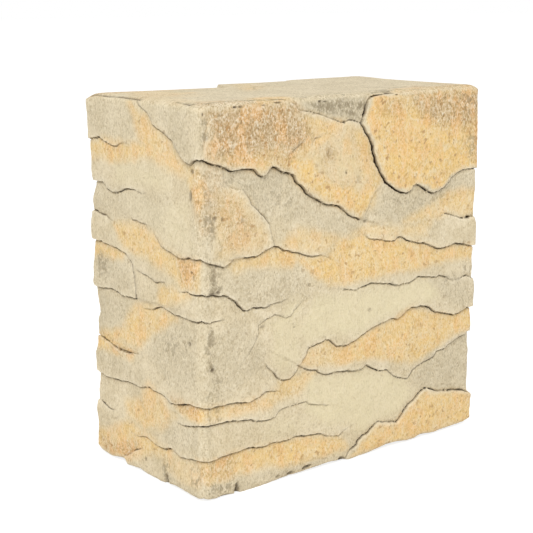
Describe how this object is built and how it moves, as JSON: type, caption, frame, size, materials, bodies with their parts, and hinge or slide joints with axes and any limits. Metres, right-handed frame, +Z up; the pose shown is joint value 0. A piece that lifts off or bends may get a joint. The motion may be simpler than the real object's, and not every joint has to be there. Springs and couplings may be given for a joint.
{
  "type": "split face concrete block",
  "caption": "Solid upright walling block cast in pale concrete, with four faces split into thin stepped leaves, a flat trowelled top and a flat bed.",
  "frame": {"origin": "middle of the bed, at the level that the block stands on", "axes": "+X along the length, +Y from the front to the back, +Z up"},
  "size_m": [0.3, 0.158, 0.304],
  "materials": {
    "concrete": "matt cast concrete, buff and grey with ochre washes, finely pitted"
  },
  "bodies": {
    "root": {"block": "concrete"}
  },
  "joints": []
}
